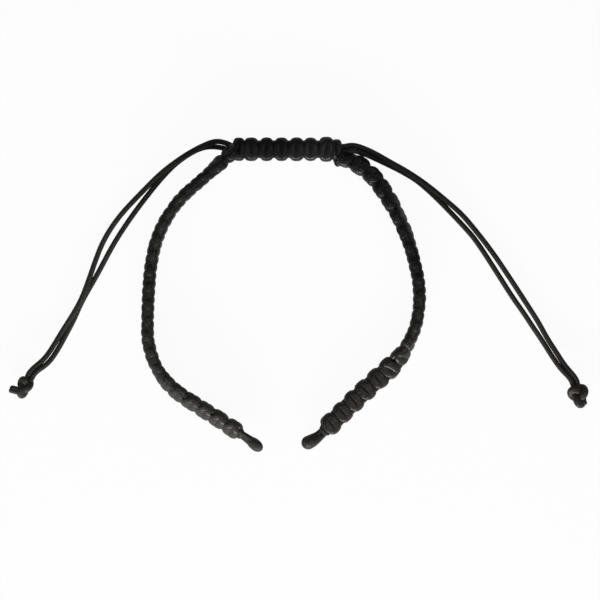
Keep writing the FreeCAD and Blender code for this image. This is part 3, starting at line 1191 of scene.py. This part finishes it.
@dataclass
class Studio:
    """The camera, the lamps, the world and the white table."""

    middle: tuple[float, float] = (0.0, -1.4)
    frame_width: float = 120.0
    distance: float = 1100.0
    world_level: float = 0.24
    table_gap: float = 0.02
    table_half: float = 1500.0

    def camera(self) -> None:
        """Puts the camera straight above the table."""
        data = bpy.data.cameras.new("overhead_camera")
        data.sensor_width = 36.0
        data.lens = 36.0 * self.distance / self.frame_width
        data.clip_start, data.clip_end = 0.05, 10.0
        made = put("overhead_camera", data)
        made.location = metres((*self.middle, self.distance))
        bpy.context.scene.camera = made

    def lamp(self, name: str, place: Sequence[float], size: tuple[float, float],
             watts: float) -> None:
        """Adds a soft lamp that faces the object.

        Args:
            name: The lamp's name.
            place: Where it stands, in millimetres.
            size: Its width and height in millimetres.
            watts: Its power.
        """
        data = bpy.data.lights.new(name, "AREA")
        data.shape = "RECTANGLE"
        data.size, data.size_y = metres(size)
        data.energy = watts
        made = put(name, data)
        made.location = metres(place)
        made.rotation_euler = (-Vector(place)).to_track_quat("-Z", "Y").to_euler()

    def world(self) -> None:
        """Gives the scene a plain white surround."""
        shader = Shader(bpy.data.worlds.new("white_surround"))
        seen = shader.node("ShaderNodeLightPath", output="Is Camera Ray")
        level = shader.node("ShaderNodeMapRange", None,
                            {"Value": seen, "To Min": self.world_level, "To Max": 1.0})
        surround = shader.node("ShaderNodeBackground", None,
                               {"Color": WHITE, "Strength": level})
        shader.node("ShaderNodeOutputWorld", None, {"Surface": surround})
        bpy.context.scene.world = shader.owner

    def table(self) -> None:
        """Lays the white table under the object."""
        half = self.table_half * MM
        mesh = bpy.data.meshes.new("table")
        mesh.from_pydata([(-half, -half, 0), (half, -half, 0), (half, half, 0), (-half, half, 0)],
                         [], [(0, 1, 2, 3)])
        made = put("table", mesh)
        made.location.z = -self.table_gap * MM
        made.data.materials.append(TableFinish().build())

    def build(self) -> None:
        """Makes the lamps, the world and the table."""
        self.world()
        self.table()
        self.lamp("low_front_strip", (-60.0, -620.0, 130.0), (620.0, 60.0), 8.0)
        self.lamp("overhead_softbox", (160.0, 120.0, 700.0), (420.0, 420.0), 0.9)
        bpy.context.scene.view_settings.view_transform = "Standard"


LEFT_TWISTS = ((0, 60), (7, 90), (46, 90), (56, 64), (65, 54), (76, 47))
RIGHT_TWISTS = ((0, -38), (8, -50), (16, -68), (25, -90), (39.5, -90), (51, 0), (76, 0))
LEFT_ARCS = ((9.7, -2.9), (17.1, 42.0), (14.3, 9.2), (15.5, 56.9), (14.0, -2.9), (4.6, -8.0))
RIGHT_ARCS = ((8.0, -31.9), (21.5, -27.4), (13.4, -38.0), (5.2, -18.2), (18.4, 4.4),
              (4.6, -27.0))

EXIT_RUN = 0.9
FLOOR_Z = CORDS.tail / 2 + CORDS.clearance
CROSSING_Z = FLOOR_Z + CORDS.core + CORDS.clearance

LEFT_OUTER = (
    (-2.6, 1.35, 1.4), (-4.7, 1.7, CROSSING_Z), (-7.3, 0.65, CROSSING_Z),
    (-9.9, -0.75, CROSSING_Z), (-12.75, -2.65, CROSSING_Z), (-15.4, -4.7, 1.25),
    (-17.9, -7.1, 0.62), (-22.65, -12, FLOOR_Z), (-24.8, -14.7, FLOOR_Z), (-26.7, -17.7, FLOOR_Z),
    (-28.1, -20.8, 0.6), (-30.3, -27.3, 1.4), (-31.55, -30.4, CROSSING_Z), (-33.3, -33.4, 1.28),
    (-35.2, -36.3, 0.7), (-36.8, -39, 0.75), (-38.7, -41.9, 1.2),
)
LEFT_INNER = (
    (-2.6, 0.2, 0.65), (-4.9, 0.6, FLOOR_Z), (-7.2, 0.4, FLOOR_Z), (-9.8, -0.85, FLOOR_Z),
    (-12.6, -2.85, FLOOR_Z), (-14.9, -5.2, FLOOR_Z), (-17.15, -7.85, FLOOR_Z),
    (-21.15, -13.05, FLOOR_Z), (-24.9, -18.7, FLOOR_Z), (-28, -24.65, FLOOR_Z),
    (-31.4, -30.5, FLOOR_Z), (-32.7, -33.65, FLOOR_Z), (-34.3, -36.7, FLOOR_Z),
    (-35.9, -39.7, 0.65), (-37.9, -42.75, 1.1),
)
RIGHT_OUTER = (
    (2.9, 0.9, 2.2), (5.5, 0.05, 1.75), (7.9, -1.15, 1.6), (10.3, -2.55, 1.3), (13.15, -4.1, 1.4),
    (16.05, -5.95, 1.45), (18.75, -7.95, 1.3), (21.4, -10.15, 0.8), (24.1, -12.4, FLOOR_Z),
    (26.45, -15, FLOOR_Z), (30.65, -20.33, FLOOR_Z), (34.45, -26, FLOOR_Z),
    (38.15, -31.7, FLOOR_Z), (40, -34.6, FLOOR_Z), (41.6, -37.6, 0.6), (43.45, -40.45, 0.85),
    (45.25, -43.3, 1.25),
)
RIGHT_INNER = (
    (2.7, -0.2, 2.55), (4.9, -0.8, 1.9), (7.1, -1.75, 1.0), (9.8, -3, FLOOR_Z),
    (12.9, -4.55, FLOOR_Z), (15.8, -6.3, FLOOR_Z), (18.3, -8.5, FLOOR_Z), (20.8, -10.9, FLOOR_Z),
    (25.5, -15.85, FLOOR_Z), (27.65, -18.4, FLOOR_Z), (31.3, -24.05, FLOOR_Z),
    (34.9, -29.75, FLOOR_Z), (36.9, -32.5, FLOOR_Z), (38.75, -35.35, FLOOR_Z), (40.7, -38.2, 0.6),
    (42.5, -41.1, 0.85), (44.35, -43.85, 1.25),
)


def full_route(closure: Closure, knot: StopperKnot, way: int, north: int,
               middle: Sequence[Place]) -> list[tuple[float, ...]]:
    """A tail's whole route, from the closure's end to its stopper knot.

    Args:
        closure: The closure that it leaves.
        knot: The stopper knot that it ends in.
        way: Which strand of the knot it is, 1 or -1.
        north: Whether it leaves the closure towards +Y, 1, or towards -Y, -1.
        middle: The points between, from the middle of the closure's end, with their heights.

    Returns:
        All the points in millimetres.
    """
    sign = WAYS[knot.side]
    x, y, z = closure.exit(knot.side, north, sign)
    last, axis = knot.tail_end(way)
    between = [(x + dx, closure.y + dy, height) for dx, dy, height in middle]
    return [(x, y, z), (x + sign * EXIT_RUN, y, z), *between, tuple(last - axis * EXIT_RUN),
            tuple(last)]


def main() -> None:
    """Builds the bracelet and the studio round it."""
    logging.basicConfig(level=logging.INFO, format="%(name)s: %(message)s")
    studio = Studio()
    studio.camera()
    dress = Dress(
        WaxedCordFinish("waxed_knotting_cord", (0.002, 0.0024, 0.002), (0.010, 0.011, 0.010),
                        (0.024, 0.023, 0.021)).build(),
        WaxedCordFinish("waxed_core_cord", (0.004, 0.0044, 0.004), (0.02, 0.0205, 0.019),
                        (0.036, 0.035, 0.032), carriers=6, coat=0.08).build())
    closure = Closure(dress)
    left_knot = StopperKnot(dress, "left", x=-53.85, y=-16.6, heading=250.0, end_length=2.7,
                            size=(1.55, 2.35, 0.6), shift=-0.4, draw=(0.566, 0.824))
    right_knot = StopperKnot(dress, "right", x=54.9, y=-18.0, heading=284.0, end_length=1.3,
                             size=(2.1, 2.5, 0.6), shift=0.15, draw=(-0.618, 0.786))
    for name, knot, way, north, middle, length in (
            ("left_tail_outer", left_knot, -1, 1, LEFT_OUTER, 66.7),
            ("left_tail_inner", left_knot, 1, -1, LEFT_INNER, 65.5),
            ("right_tail_outer", right_knot, 1, 1, RIGHT_OUTER, 69.9),
            ("right_tail_inner", right_knot, -1, -1, RIGHT_INNER, 68.8)):
        route = full_route(closure, knot, way, north, middle)
        Tail(dress, name, knot, route, length).build()
        LOG.info("%s is made", name)
    closure.build()
    LOG.info("the closure is made")
    arms = (
        Arm(dress, "left", Band((-14.41, 27.32), 223.3, LEFT_ARCS, LEFT_TWISTS,
                                arm_knot(3.257), lift=0.45), counts=(5, 6, 5, 6),
            loop_half_gap=0.56, loop_half_width=0.7),
        Arm(dress, "right", Band((9.67, 26.65), -22.8, RIGHT_ARCS, RIGHT_TWISTS,
                                 arm_knot(3.24)), counts=(5, 5, 5, 6),
            loop_half_gap=0.62, loop_half_width=0.74),
    )
    for arm in arms:
        arm.build()
        arm.runs(closure)
        LOG.info("the %s arm is made", arm.side)
    for knot in (left_knot, right_knot):
        knot.build()
        LOG.info("the %s stopper knot is made", knot.side)
    studio.build()


if __name__ == "__main__":
    main()
